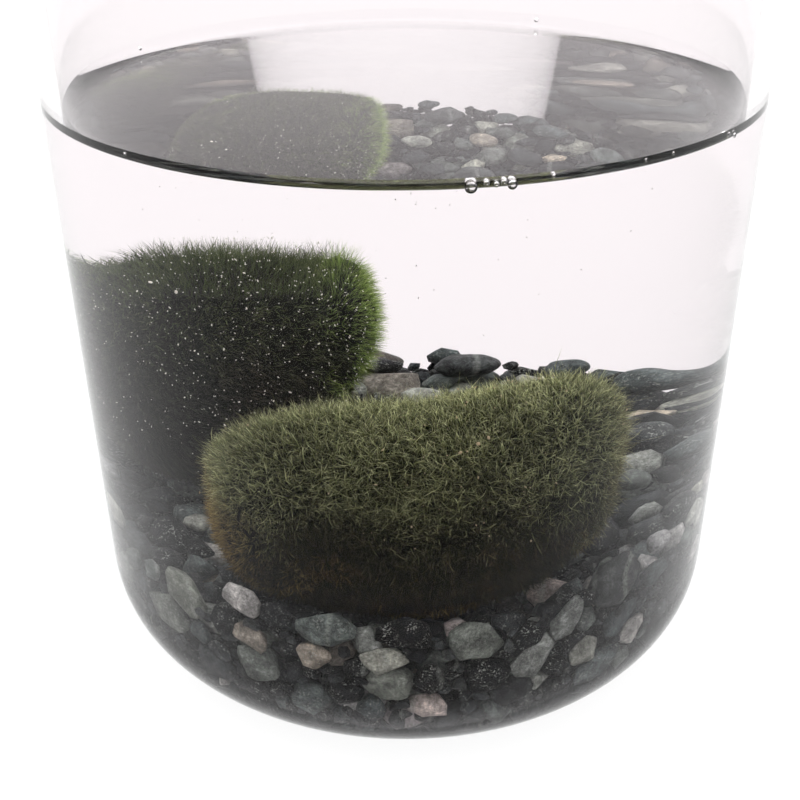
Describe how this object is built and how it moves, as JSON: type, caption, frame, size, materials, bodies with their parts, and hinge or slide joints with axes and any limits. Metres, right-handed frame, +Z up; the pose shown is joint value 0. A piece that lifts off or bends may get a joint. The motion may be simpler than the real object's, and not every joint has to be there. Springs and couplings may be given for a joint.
{
  "type": "marimo moss balls in a glass jar",
  "caption": "Straight open glass jar of water with a round heel, holding two felted balls of green moss on a sloping bed of grey-green gravel.",
  "frame": {"origin": "middle of the jar's flat foot, on the surface it stands on", "axes": "+Z up along the jar's axis; -Y is the front, with the olive moss ball; the dark moss ball stands behind on the -X side"},
  "size_m": [0.1, 0.1, 0.125],
  "materials": {
    "clear_glass": "clear polished glass, colourless, with a faint grey-green edge",
    "water": "clear still water",
    "gravel": "wet, charcoal, grey-green and pale green-grey stones with tan ones among them",
    "pebble": "wet, smooth, rounded chips with fine pale speckle",
    "moss_olive": "felt of short curly olive filaments with a yellow-green fringe",
    "moss_dark": "dense dark green felt of fine filaments with a vivid green fringe"
  },
  "bodies": {
    "root": {"glass_jar": "clear_glass", "water": "water", "gravel_bed": "gravel", "moss_ball_front": "moss_olive", "moss_ball_back": "moss_dark", "pebble_01": "pebble", "pebble_02": "pebble", "pebble_03": "pebble", "pebble_04": "pebble", "pebble_05": "pebble", "pebble_06": "pebble", "pebble_07": "pebble", "pebble_08": "pebble", "pebble_09": "pebble", "pebble_10": "pebble", "pebble_11": "pebble", "pebble_12": "pebble", "pebble_13": "pebble", "pebble_14": "pebble", "pebble_15": "pebble", "pebble_16": "pebble", "pebble_17": "pebble", "pebble_18": "pebble", "pebble_19": "pebble", "pebble_20": "pebble", "pebble_21": "pebble", "pebble_22": "pebble", "pebble_23": "pebble"}
  },
  "joints": []
}
